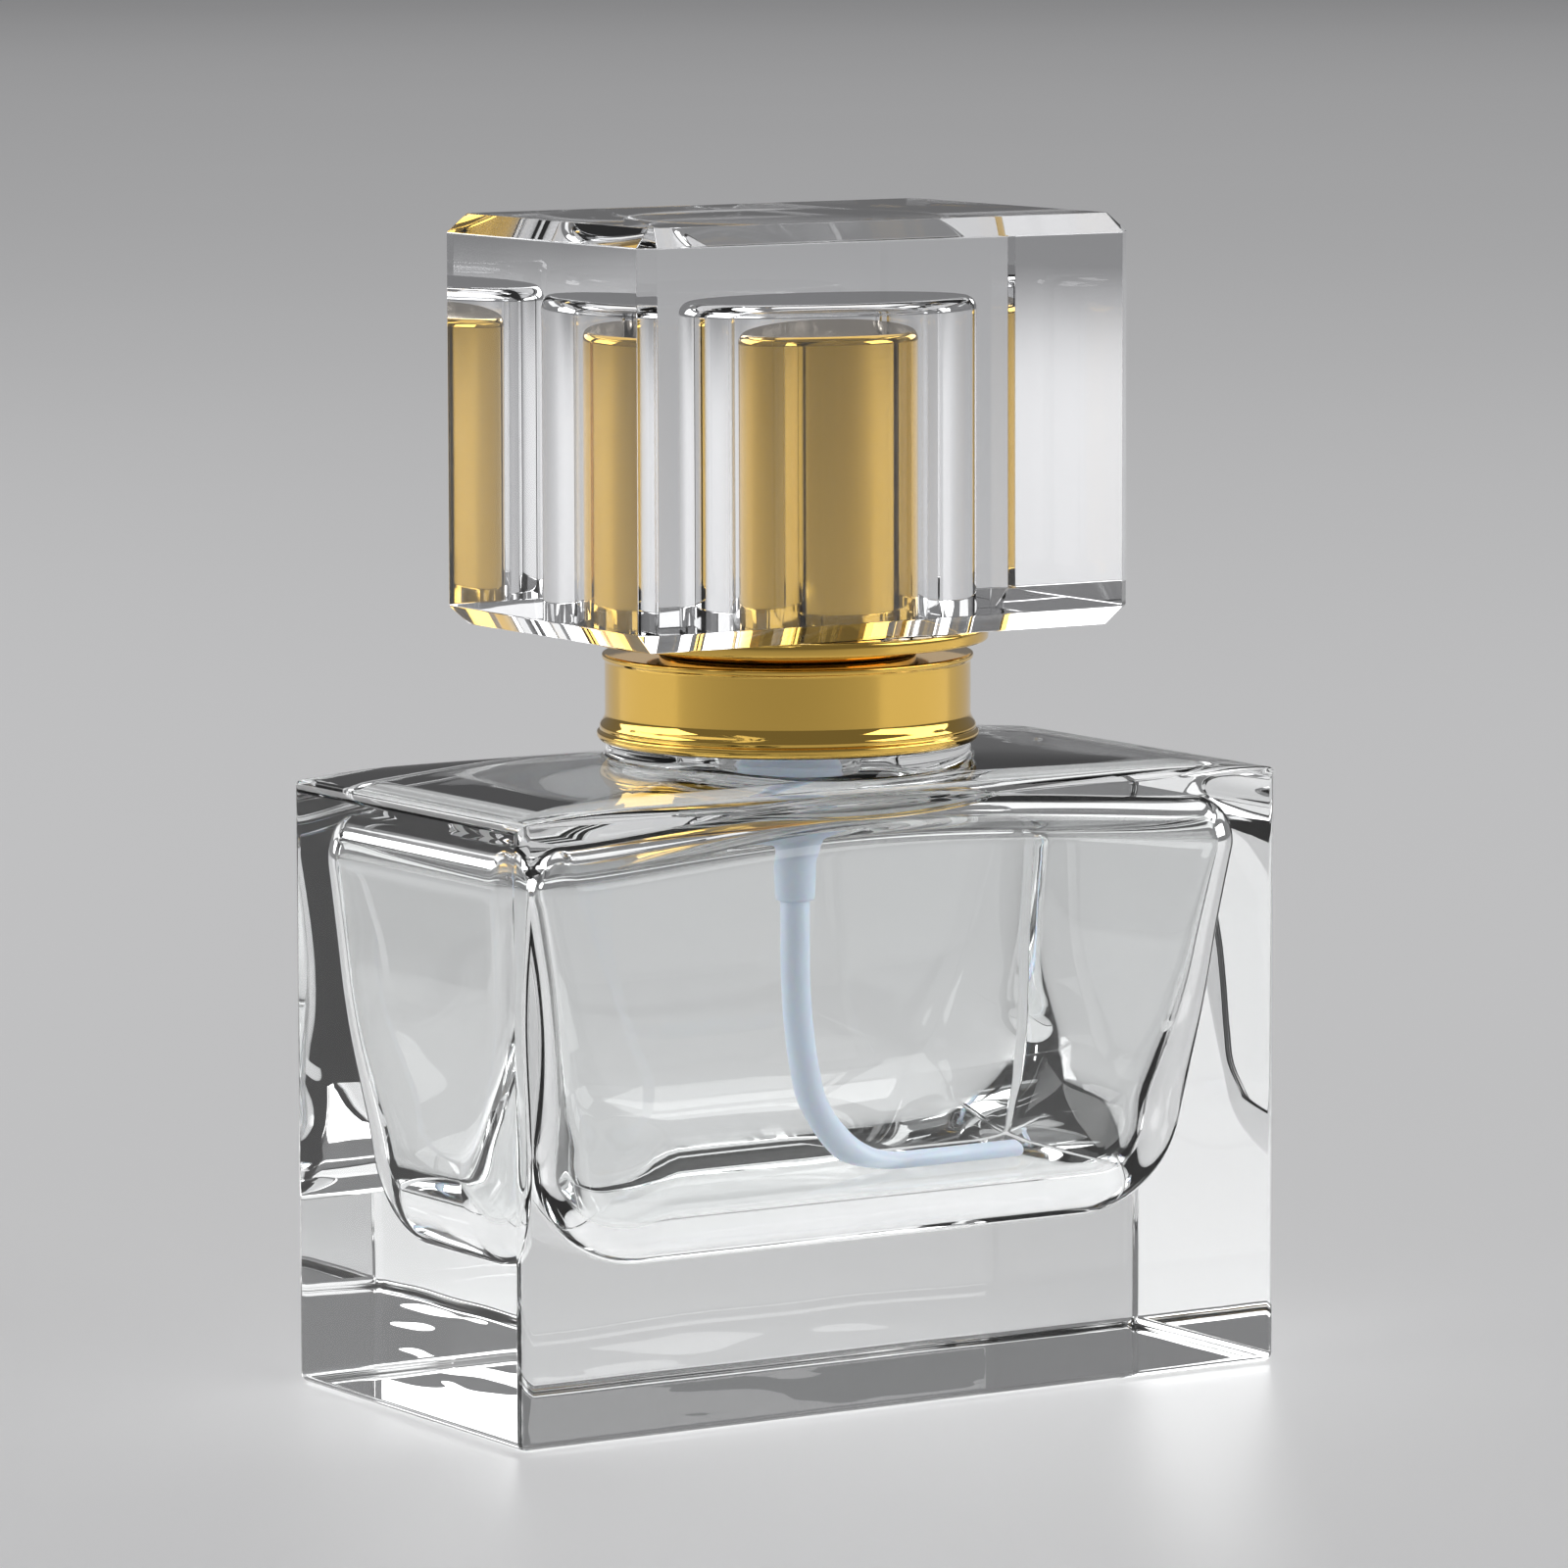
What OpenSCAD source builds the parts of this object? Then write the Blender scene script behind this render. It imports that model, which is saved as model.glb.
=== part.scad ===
// Rectangular atomiser bottle: heavy-based glass, crimped spray pump, gold collar and clear block cap.
// Millimetres, +Z up. The origin is the centre of the base. The front is the wide face towards -Y.

/* [Bottle] */
// Width of the bottle, left to right
bottle_w = 60; // [46:0.5:90]
// Depth of the bottle, front to back
bottle_d = 30.3; // [28:0.1:50]
// Height of the shoulder at its left and right edges
shoulder_h = 41.2; // [34:0.1:70]
// Rise of the shoulder's dome from those edges to the neck
dome_rise = 1.6; // [0.8:0.1:3]
// Fall of the dome from the neck to the wide faces
dome_fall = 1.1; // [0.4:0.1:2]
// Height of the collar's round seat over the dome
seat_rise = 0.7; // [0.2:0.1:2]
// Radius of the four upright corners
corner_r = 0.8; // [0.4:0.1:3]
// Radius of the top edges
top_edge_r = 0.9; // [0.5:0.1:3]
// Radius of the bottom edges
base_edge_r = 0.6; // [0.2:0.1:1.5]
// Thickness of the solid glass base
base_t = 10.4; // [4:0.1:16]
// Glass at the narrow faces, near the shoulder
side_wall_top = 1.9; // [1.5:0.1:4]
// Glass at the narrow faces, at half height
side_wall_middle = 3.6; // [1.5:0.1:6]
// Glass at the narrow faces, near the base
side_wall_bottom = 4; // [2:0.1:8]
// Glass at the wide faces, over half height
front_wall = 2.1; // [1.5:0.1:4]
// Glass at the wide faces, near the base
front_wall_bottom = 4; // [2:0.1:7]
// Glass over the hollow at the edges of the shoulder
shoulder_wall = 2; // [1.5:0.1:4]
// Rise of the hollow's roof from those edges to the neck
roof_rise = 1.4; // [0.5:0.1:2.5]
// Radius of the hollow's upper corners
hollow_top_r = 3.2; // [1:0.1:5]
// Radius of the hollow's lower corners, along the width
hollow_bottom_r = 8.6; // [2:0.1:10]

/* [Neck] */
// Height of the neck over the shoulder
neck_h = 7; // [6:0.1:12]
// Radius of the bead that the ferrule is crimped under
bead_r = 7.5; // [7.2:0.05:9]
// How far the bead stands out from the neck
bead_out = 0.7; // [0.4:0.05:1.2]
// Height of the bead
bead_h = 3.2; // [2.5:0.1:4]
// Radius of the neck's bore
bore_r = 4.9; // [4:0.05:5.9]

/* [Pump] */
// Stroke of the pump
stroke = 4; // [2.5:0.1:6]
// Thickness of the neck gasket
gasket_t = 0.8; // [0.5:0.05:1.5]
// Thickness of the housing's flange
housing_flange_t = 0.8; // [0.6:0.05:1.5]
// Thickness of the turret's flange
turret_flange_t = 0.6; // [0.4:0.05:1.2]
// Thickness of the ferrule's aluminium
ferrule_t = 0.35; // [0.25:0.05:0.5]
// Inner radius of the pump barrel
barrel_r = 3.25; // [3:0.05:3.9]
// Wall of the pump barrel
barrel_wall = 0.6; // [0.45:0.05:0.7]
// How far the barrel stands over the ferrule
barrel_rise = 2.15; // [1.6:0.05:4]
// Wall of the turret's hub
turret_wall = 0.7; // [0.5:0.05:0.8]
// Thickness of the turret's top
turret_top_t = 0.75; // [0.6:0.05:1.5]
// Length of the barrel's tail, from the barrel floor to the tube holder's mouth
tail_h = 10; // [8:0.1:14]
// Outer radius of the tube holder at its mouth
holder_r = 1.35; // [1.25:0.05:1.8]
// Radius of the inlet ball
ball_r = 1.1; // [0.9:0.05:1.2]
// Radius of the stem
stem_r = 1.5; // [1.3:0.05:1.8]
// Radius of the stem's lower end, inside the piston
stem_tail_r = 1.1; // [0.9:0.05:1.2]
// Radius of the channel in the stem
stem_bore_r = 0.55; // [0.4:0.05:0.7]
// Height of the piston
piston_h = 2.15; // [1.8:0.05:3]
// Length of the priming spring
priming_spring_h = 2; // [1.5:0.1:4]
// Solid length of the return spring
return_spring_solid = 2.3; // [2:0.1:4]
// Thickness of the stem gasket
stem_gasket_t = 0.7; // [0.5:0.05:1.2]

/* [Dip tube] */
// Outer radius of the dip tube
tube_r = 1; // [0.8:0.05:1.05]
// Wall of the dip tube
tube_wall = 0.35; // [0.25:0.05:0.5]
// Angle of the tube where its gentle bend meets its tight bend
tube_lean = 10; // [6:1:30]
// Radius of the tube's tight bend, over the base
tube_tight_r = 8; // [5:0.1:10]
// Straight length of the tube under its holder
tube_lead = 2.8; // [1:0.1:3.5]

/* [Actuator] */
// Wall of the actuator's core around the turret's hub
actuator_wall = 0.6; // [0.5:0.05:1]
// Height of the actuator
actuator_h = 8.15; // [7.4:0.05:12]
// Radius of the spray insert
insert_r = 1.5; // [1.2:0.05:1.7]
// Length of the spray insert
insert_l = 1.6; // [1.2:0.05:2]
// Radius of the spray orifice
orifice_r = 0.15; // [0.1:0.01:0.3]

/* [Collar] */
// Radius of the collar's waist
collar_r = 12.4; // [12:0.05:13]
// Height of the collar to its rolled lip
collar_h = 5.95; // [5:0.05:8]
// How far the collar's foot stands out from its waist
foot_out = 0.55; // [0.3:0.05:1]
// Space between the ferrule and the collar's boss, which the cap grips
boss_gap = 0.45; // [0.3:0.05:0.8]
// Thickness of the gold shells
shell_t = 0.35; // [0.3:0.05:0.45]

/* [Cap] */
// Width of the cap block
cap_w = 38.6; // [32:0.1:60]
// Depth of the cap block
cap_d = 26.6; // [25.6:0.1:40]
// Clear material over the cap's hollow
cap_roof = 5.5; // [3:0.1:10]
// Width of the cap's upright corner facets, along each face
cap_corner = 1; // [0.5:0.1:3]
// Bevel of the cap's top and bottom edges, across
cap_bevel_w = 1.2; // [0.5:0.1:2]
// Bevel of the cap's top and bottom edges, in height
cap_bevel_h = 1.35; // [0.5:0.05:2.5]
// Radius of the fillet at the hollow's ceiling
cap_hollow_fillet = 0.9; // [0.3:0.1:2]
// Space around the gold sleeve in the cap's hollow
sleeve_space = 1.1; // [0.3:0.1:1.6]
// How far the sleeve's flange reaches past the hollow
flange_out = 2.6; // [1:0.1:4]
// Thickness of the sleeve's flange
flange_t = 1; // [0.6:0.05:2]
// Space between the collar's lip and the sleeve's flange
cap_gap = 0.85; // [0.3:0.05:1.5]
// Space between the actuator's top and the liner's ceiling
headroom = 4.85; // [4.5:0.05:8]
// Space between the sleeve's top and the hollow's ceiling
sleeve_gap = 2.2; // [0.5:0.1:4]
// Wall of the cap's liner
liner_wall = 0.6; // [0.45:0.05:1]
// Space between the liner and the collar's boss, which the grip ribs cross
liner_space = 0.2; // [0.15:0.05:0.4]
// Number of grip ribs in the liner
rib_count = 6; // [3:1:12]

/* [Fits] */
// Gap between pieces that are pressed or bonded together
fit_gap = 0.05; // [0.02:0.01:0.06]
// Radial gap of a shaft that slides or turns
slide_gap = 0.06; // [0.03:0.01:0.09]
// Gap around pieces that pass each other
free_gap = 0.35; // [0.3:0.05:0.5]

/* [Hidden] */

round_fn = 96;     // turned pieces
dome_fn = 720;     // the shoulder's large arc
blend_fn = 32;     // rounded corners inside a hull
eps = 0.01;        // overlap that joins the solids of one piece

// Colours
glass_tint = [0.86, 0.92, 0.94, 0.35];
acrylic_tint = [0.95, 0.97, 1, 0.35];
gold = [0.86, 0.68, 0.33];
aluminium = [0.80, 0.81, 0.83];
steel = [0.62, 0.64, 0.66];
natural_plastic = [0.90, 0.92, 0.95];
white_plastic = [0.94, 0.94, 0.92];
seal_grey = [0.45, 0.46, 0.48];

// Sizes of the bottle
neck_r = bead_r - bead_out;
seat_r = collar_r;
dome_z = shoulder_h + dome_rise;
shoulder_z = dome_z + seat_rise;
lip_z = shoulder_z + neck_h;
hollow_roof_z = shoulder_h - shoulder_wall;
hollow_bottom_radii = [hollow_bottom_r, hollow_bottom_r * 0.78, hollow_bottom_r * 0.93];
hollow_middle_radii = [hollow_top_r + 2.6, hollow_top_r + 0.6, 1];
hollow_middle_z = (base_t + hollow_roof_z) / 2 + 1;

// Heights of the pump, from the lip up
gasket_top = lip_z + gasket_t;
housing_flange_top = gasket_top + housing_flange_t;
turret_flange_top = housing_flange_top + turret_flange_t;
ferrule_top = turret_flange_top + ferrule_t;
barrel_top = ferrule_top + barrel_rise;
turret_top = barrel_top + fit_gap + turret_top_t;

// Heights of the pump, from the stem gasket down
stem_gasket_z = barrel_top - stem_gasket_t;
stem_collar_top = stem_gasket_z - fit_gap;
stem_collar_t = 0.55;
piston_top = stem_collar_top - stem_collar_t - priming_spring_h;
piston_z = piston_top - piston_h;
head_top = piston_z - fit_gap;
head_t = 0.8;
head_z = head_top - head_t;
barrel_floor = head_z - stroke - return_spring_solid;
holder_z = barrel_floor - tail_h;

// Radii of the pump
stem_collar_r = stem_r + 0.9;
head_r = barrel_r - 0.95;
barrel_out_r = barrel_r + barrel_wall;
hub_in_r = barrel_out_r + fit_gap;
hub_r = hub_in_r + turret_wall;
flange_plate_r = bead_r - 0.2;
ferrule_r = bead_r + fit_gap + ferrule_t;
ball_chamber_r = ball_r + 0.4;
seat_hole_r = 0.65;
seat_hole_z = barrel_floor - 2.1;
ball_gap = 0.02;
ball_z = seat_hole_z - seat_hole_r + sqrt(2) * (ball_r + ball_gap);   // rests in a 45 degree seat
socket_top = seat_hole_z - 1.3;
holder_bore_r = tube_r + fit_gap;

// Springs: wire radius, coil radius and turns
return_wire_r = 0.2;
return_coil_r = head_r - 0.52;
return_turns = 5;
priming_wire_r = 0.16;
priming_coil_r = stem_tail_r + 0.5;
priming_turns = 3;

// Route of the dip tube
floor_line = base_t + fit_gap + tube_r;
tube_top = socket_top - fit_gap;
bend_top = holder_z - tube_lead;
tight_drop = tube_tight_r * (1 - sin(tube_lean));
gentle_r = (bend_top - floor_line - tight_drop) / sin(tube_lean);
gentle_x = gentle_r * (1 - cos(tube_lean));
tight_x = gentle_x + tube_tight_r * cos(tube_lean);
tube_end_x = bottle_w / 2 - side_wall_bottom - hollow_bottom_r + 0.5;

// Actuator
actuator_z = ferrule_top + free_gap + stroke;
actuator_top = actuator_z + actuator_h;
skirt_in_r = hub_r + free_gap;
core_r = skirt_in_r + actuator_wall;
actuator_r = core_r + fit_gap + shell_t;
core_top = actuator_top - shell_t - fit_gap;
skirt_ceiling = turret_top + stroke + free_gap;
stem_top = skirt_ceiling + 2;
channel_z = stem_top + 0.6;
channel_r = 0.5;
insert_front = actuator_r - 0.25;
actuator_edge_r = 0.8;

// Collar
collar_top = shoulder_z + collar_h;
boss_top = actuator_z;
boss_r = ferrule_r + boss_gap + shell_t;
boss_hole_r = actuator_r + free_gap;
insert_in_r = ferrule_r + fit_gap;
insert_out_r = collar_r - shell_t - fit_gap;
insert_wall = 1.1;
insert_top = collar_top - shell_t - fit_gap;

// Cap
flange_z = collar_top + cap_gap;
cap_z = flange_z + flange_t;
liner_ceiling = actuator_top + headroom;
liner_top = liner_ceiling + liner_wall;
sleeve_top = liner_top + fit_gap + shell_t;
liner_in_r = boss_r + liner_space;
liner_r = liner_in_r + liner_wall;
sleeve_in_r = liner_r + fit_gap;
sleeve_r = sleeve_in_r + shell_t;
cap_hollow_r = sleeve_r + sleeve_space;
flange_r = cap_hollow_r + flange_out;
liner_step_r = boss_r - shell_t - 0.1;             // the step that stops the cap on the boss
liner_step_z = boss_top + fit_gap;
cap_ceiling = sleeve_top + sleeve_gap;
cap_top = cap_ceiling + cap_roof;
rib_r = 0.3;
rib_out = boss_r + 0.04 + rib_r;

// ---- Shared shapes ----

// A ring or disc between two heights
module ring(r_out, r_in, z_low, z_high) {
    translate([0, 0, z_low])
        difference() {
            cylinder(r = r_out, h = z_high - z_low, $fn = round_fn);
            if (r_in > 0)
                translate([0, 0, -1]) cylinder(r = r_in, h = z_high - z_low + 2, $fn = round_fn);
        }
}

// A turned piece from its half section
module turned(section) {
    rotate_extrude($fn = round_fn) polygon(section);
}

// A bore across a piece, from the axis towards the front
module front_bore(r, z, from, to) {
    translate([0, -from, z]) rotate([90, 0, 0]) cylinder(r = r, h = to - from, $fn = round_fn);
}

// An upright outline, centred left to right, with its own top and bottom corner radii
module rounded_outline(w, h, r_top, r_bottom) {
    middle = (r_bottom + h - r_top) / 2;
    for (side = [-1, 1]) {
        translate([side * (w / 2 - r_bottom), r_bottom]) circle(r = r_bottom, $fn = round_fn);
        translate([side * (w / 2 - r_top), h - r_top]) circle(r = r_top, $fn = round_fn);
    }
    translate([-w / 2, r_bottom]) square([w, h - r_top - r_bottom]);
    translate([-w / 2 + r_bottom, 0]) square([w - 2 * r_bottom, middle]);
    translate([-w / 2 + r_top, middle]) square([w - 2 * r_top, h - middle]);
}

// Turns an upright outline into a bar along Y, or along X
module along_y(length) {
    translate([0, length / 2, 0]) rotate([90, 0, 0]) linear_extrude(height = length) children();
}
module along_x(length) {
    rotate([0, 0, 90]) along_y(length) children();
}

// A closed coil of round wire between two heights
module coil(coil_r, wire_r, z_low, z_high, turns) {
    steps = 20;
    sides = 6;
    rings = turns * steps;
    low = z_low + wire_r + eps;
    rise = z_high - z_low - 2 * (wire_r + eps);
    function wire_point(i, j) =
        let (a = 360 * i / steps, b = 360 * j / sides, r = coil_r + wire_r * cos(b))
        [r * cos(a), r * sin(a), low + rise * i / rings + wire_r * sin(b)];
    polyhedron(
        points = [for (i = [0:rings]) for (j = [0:sides - 1]) wire_point(i, j)],
        faces = concat(
            [[for (j = [0:sides - 1]) j]],
            [for (i = [0:rings - 1]) for (j = [0:sides - 1])
                [i * sides + j, (i + 1) * sides + j, (i + 1) * sides + (j + 1) % sides,
                 i * sides + (j + 1) % sides]],
            [[for (j = [sides - 1:-1:0]) rings * sides + j]]));
}

// ---- Bottle ----

// An upright outline with a shallow arch on top: w wide, h high at its sides, rising in the middle
module arched_outline(w, h, rise) {
    half = w / 2 - top_edge_r;
    arch_r = (half * half + rise * rise) / (2 * rise);
    rounded_outline(w, h, top_edge_r, base_edge_r);
    intersection() {
        translate([0, h + rise - arch_r]) circle(r = arch_r, $fn = dome_fn);
        translate([-half, h / 2]) square([2 * half, h]);
    }
}

// The outer form: flat faces, rounded corners and a shoulder that rises to the neck
module bottle_form() {
    intersection() {
        translate([0, -bottle_d / 2, -1])
            linear_extrude(height = shoulder_z + 2)
                rounded_outline(bottle_w, bottle_d, corner_r, corner_r);
        along_y(bottle_d + 2) arched_outline(bottle_w, shoulder_h, dome_rise);
        along_x(bottle_w + 2) arched_outline(bottle_d, dome_z - dome_fall, dome_fall);
    }
}

// Four rounded corners of the hollow at one height; walls are [narrow faces, wide faces]
module hollow_corners(walls, radii, z) {
    for (x = [-1, 1], y = [-1, 1])
        translate([x * (bottle_w / 2 - walls[0] - radii[0]), y * (bottle_d / 2 - walls[1] - radii[1]), z])
            scale(radii) sphere(r = 1, $fn = blend_fn);
}

module hollow_middle() {
    hollow_corners([side_wall_middle, front_wall], hollow_middle_radii, hollow_middle_z);
}

// The space that holds the liquid: narrower at the base, under a roof that rises to the neck
module hollow() {
    hull() {
        hollow_corners([side_wall_bottom, front_wall_bottom], hollow_bottom_radii,
                       base_t + hollow_bottom_radii[2]);
        hollow_middle();
    }
    hull() {
        hollow_middle();
        for (i = [-2:2], y = [-1, 1])
            translate([i / 2 * (bottle_w / 2 - side_wall_top - hollow_top_r),
                       y * (bottle_d / 2 - front_wall - hollow_top_r),
                       hollow_roof_z - hollow_top_r + roof_rise * (1 - i * i / 4)])
                sphere(r = hollow_top_r, $fn = blend_fn);
    }
}

module neck() {
    bead_z = lip_z - bead_h;
    bead_edge = 0.5;
    turned([[0, shoulder_h], [neck_r, shoulder_h], [neck_r, bead_z - 0.6], [bead_r, bead_z],
            [bead_r, lip_z - bead_edge], [bead_r - bead_edge, lip_z], [0, lip_z]]);
}

module glass_bottle() {
    color(glass_tint)
        difference() {
            union() {
                bottle_form();
                ring(seat_r, 0, shoulder_h, shoulder_z);
                neck();
            }
            hollow();
            translate([0, 0, hollow_roof_z]) cylinder(r = bore_r, h = lip_z, $fn = round_fn);
        }
}

// ---- Crimp ----

module neck_gasket() {
    color(seal_grey) ring(flange_plate_r, bore_r, lip_z, gasket_top);
}

module crimp_ferrule() {
    skirt_z = lip_z - bead_h - 1.2;
    inside_r = bead_r + fit_gap;
    crimp_r = neck_r + fit_gap + ferrule_t;
    bend = 0.6;
    color(aluminium)
        turned([[hub_r + fit_gap, turret_flange_top], [inside_r, turret_flange_top],
                [inside_r, skirt_z + 1.2 - fit_gap], [crimp_r - ferrule_t, skirt_z + bend - fit_gap],
                [crimp_r - ferrule_t, skirt_z], [crimp_r, skirt_z], [crimp_r, skirt_z + 0.4],
                [ferrule_r, skirt_z + 1], [ferrule_r, ferrule_top - 0.3], [ferrule_r - 0.3, ferrule_top],
                [hub_r + fit_gap, ferrule_top]]);
}

// ---- Collar ----

// The plastic ring that grips the ferrule and carries the gold shell
module collar_insert() {
    web_t = 1;
    color(white_plastic)
        difference() {
            ring(insert_out_r, insert_in_r, shoulder_z, insert_top);
            ring(insert_out_r - insert_wall, insert_in_r + insert_wall, shoulder_z - 1, insert_top - web_t);
        }
}

module collar_shell() {
    inner_r = collar_r - shell_t;
    foot_r = collar_r + foot_out;
    z = shoulder_z;
    boss_in_r = boss_r - shell_t;
    color(gold)
        turned([[inner_r, z], [foot_r - 0.3, z], [foot_r, z + 0.4], [foot_r - 0.05, z + 0.6],
                [foot_r - 0.25, z + 0.75], [foot_r - 0.2, z + 1], [foot_r - 0.3, z + 1.2],
                [collar_r, z + 1.6], [collar_r, collar_top - 0.45], [collar_r + 0.18, collar_top - 0.3],
                [collar_r + 0.18, collar_top - 0.12], [collar_r, collar_top],
                [boss_r + 0.3, collar_top], [boss_r, collar_top + 0.3],
                [boss_r, boss_top - 0.4], [boss_r - 0.4, boss_top], [boss_hole_r, boss_top],
                [boss_hole_r, boss_top - shell_t], [boss_in_r - 0.4, boss_top - shell_t],
                [boss_in_r, boss_top - shell_t - 0.4], [boss_in_r, collar_top - shell_t],
                [inner_r, collar_top - shell_t]]);
}

// ---- Pump ----

// Flange, barrel, ball seat and tube holder in one moulding
module pump_housing() {
    shoulder_low = socket_top - 0.6;
    color(natural_plastic)
        turned([[barrel_r, barrel_floor], [barrel_r, barrel_top], [barrel_out_r, barrel_top],
                [barrel_out_r, housing_flange_top], [flange_plate_r, housing_flange_top],
                [flange_plate_r, gasket_top], [barrel_out_r, gasket_top],
                [barrel_out_r, barrel_floor - 0.4], [holder_r + 0.4, seat_hole_z - 0.6],
                [holder_r + 0.25, shoulder_low], [holder_r, holder_z + 0.15], [holder_r - 0.1, holder_z],
                [holder_bore_r, holder_z], [holder_bore_r, socket_top], [seat_hole_r, socket_top],
                [seat_hole_r, seat_hole_z],
                [ball_chamber_r, seat_hole_z + ball_chamber_r - seat_hole_r],
                [ball_chamber_r, barrel_floor]]);
}

// Closes the barrel, guides the stem and is held down by the ferrule
module pump_turret() {
    color(white_plastic)
        turned([[hub_in_r, housing_flange_top], [flange_plate_r, housing_flange_top],
                [flange_plate_r, turret_flange_top], [hub_r, turret_flange_top],
                [hub_r, turret_top - 0.3], [hub_r - 0.3, turret_top], [stem_r + slide_gap, turret_top],
                [stem_r + slide_gap, barrel_top + fit_gap], [hub_in_r, barrel_top + fit_gap]]);
}

module stem_gasket() {
    color(seal_grey) ring(barrel_r - fit_gap, stem_r + slide_gap, stem_gasket_z, barrel_top);
}

module inlet_ball() {
    color(steel) translate([0, 0, ball_z]) sphere(r = ball_r, $fn = round_fn);
}

module return_spring() {
    color(steel) coil(return_coil_r, return_wire_r, barrel_floor, head_z, return_turns);
}

// The hollow stem, with the head under the piston and the collar that stops it at the gasket
module pump_stem() {
    port_r = 0.3;
    port_z = piston_z + 0.8;
    collar_z = stem_collar_top - stem_collar_t;
    color(white_plastic)
        difference() {
            turned([[0, head_z], [head_r, head_z], [head_r, head_top], [stem_tail_r, head_top],
                    [stem_tail_r, collar_z], [stem_collar_r, collar_z], [stem_collar_r, stem_collar_top],
                    [stem_r, stem_collar_top], [stem_r, stem_top], [0, stem_top]]);
            translate([0, 0, port_z]) cylinder(r = stem_bore_r, h = stem_top, $fn = round_fn);
            translate([-stem_r * 2, 0, port_z]) rotate([0, 90, 0])
                cylinder(r = port_r, h = stem_r * 4, $fn = round_fn);
        }
}

// A double-lipped piston that opens the stem's ports when it rises on the stem
module pump_piston() {
    in_r = stem_tail_r + slide_gap;
    out_r = barrel_r - slide_gap;
    hub_out = in_r + 0.75;
    lip_in = out_r - 0.45;
    color(natural_plastic)
        turned([[in_r, piston_z], [hub_out, piston_z], [hub_out, piston_z + 0.7], [lip_in, piston_z + 0.7],
                [lip_in, piston_z + 0.1], [out_r, piston_z + 0.1], [out_r, piston_z + 0.5],
                [out_r - 0.12, piston_z + 0.7], [out_r - 0.12, piston_top - 0.7], [out_r, piston_top - 0.5],
                [out_r, piston_top - 0.1], [lip_in, piston_top - 0.1], [lip_in, piston_top - 0.7],
                [hub_out, piston_top - 0.7], [hub_out, piston_top], [in_r, piston_top]]);
}

module priming_spring() {
    color(steel)
        coil(priming_coil_r, priming_wire_r, piston_top, piston_top + priming_spring_h, priming_turns);
}

// ---- Dip tube ----

// Straight down from its socket, a gentle bend, a tight bend, then along the floor of the hollow.
// Each place on the route is [x, z, heading from straight down].
function tube_places(gentle_steps, tight_steps) = concat(
    [[0, tube_top, 0]],
    [for (i = [0:gentle_steps]) let (a = tube_lean * i / gentle_steps)
        [gentle_r * (1 - cos(a)), bend_top - gentle_r * sin(a), a]],
    [for (i = [1:tight_steps]) let (a = tube_lean + (90 - tube_lean) * i / tight_steps)
        [tight_x - tube_tight_r * cos(a), floor_line + tube_tight_r * (1 - sin(a)), a]],
    [[tube_end_x, floor_line, 90]]);

function tube_ring(place, r, sides) =
    [for (j = [0:sides - 1]) let (b = 360 * j / sides)
        [place[0] + r * cos(b) * cos(place[2]), r * sin(b), place[1] + r * cos(b) * sin(place[2])]];

module dip_tube() {
    sides = 20;
    places = tube_places(8, 12);
    last = len(places) - 1;
    inner = len(places) * sides;                   // the bore's points follow the wall's
    function at(i, j) = i * sides + j % sides;
    color(natural_plastic)
        polyhedron(
            points = concat([for (p = places) each tube_ring(p, tube_r, sides)],
                            [for (p = places) each tube_ring(p, tube_r - tube_wall, sides)]),
            faces = [for (j = [0:sides - 1]) each concat(
                [[at(0, j), at(0, j + 1), inner + at(0, j + 1), inner + at(0, j)]],
                [[at(last, j + 1), at(last, j), inner + at(last, j), inner + at(last, j + 1)]],
                [for (i = [0:last - 1]) each [
                    [at(i, j), at(i + 1, j), at(i + 1, j + 1), at(i, j + 1)],
                    [inner + at(i, j + 1), inner + at(i + 1, j + 1), inner + at(i + 1, j),
                     inner + at(i, j)]]])]);
}

// ---- Actuator ----

module actuator_core() {
    socket_r = stem_r + slide_gap / 2;
    color(white_plastic)
        difference() {
            turned([[skirt_in_r, actuator_z], [core_r, actuator_z], [core_r, core_top - 0.6],
                    [core_r - 0.6, core_top], [0, core_top], [0, skirt_ceiling],
                    [skirt_in_r, skirt_ceiling]]);
            translate([0, 0, skirt_ceiling - 1])
                cylinder(r = socket_r, h = stem_top - skirt_ceiling + 1 + fit_gap, $fn = round_fn);
            translate([0, 0, stem_top]) cylinder(r = stem_bore_r, h = channel_z - stem_top, $fn = round_fn);
            front_bore(channel_r, channel_z, 0, actuator_r);
            front_bore(insert_r + fit_gap / 2, channel_z, insert_front - insert_l, actuator_r);
        }
}

module actuator_shell() {
    in_r = actuator_r - shell_t;
    e = actuator_edge_r;
    color(gold)
        difference() {
            union() {
                ring(actuator_r, in_r, actuator_z, actuator_top - e);
                difference() {
                    union() {
                        ring(actuator_r - e, 0, actuator_top - e - eps, actuator_top);
                        translate([0, 0, actuator_top - e]) rotate_extrude($fn = round_fn)
                            intersection() {
                                translate([actuator_r - e, 0]) circle(r = e, $fn = round_fn);
                                translate([0, -eps]) square([actuator_r, e + eps]);
                            }
                    }
                    ring(in_r - e + shell_t, 0, actuator_top - e - 1, actuator_top - shell_t);
                    turned([[0, actuator_top - e - 1], [in_r, actuator_top - e - 1],
                            [in_r, actuator_top - e],
                            [in_r - e + shell_t, actuator_top - shell_t], [0, actuator_top - shell_t]]);
                }
            }
            front_bore(insert_r + fit_gap, channel_z, 1, actuator_r + 1);
        }
}

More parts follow.
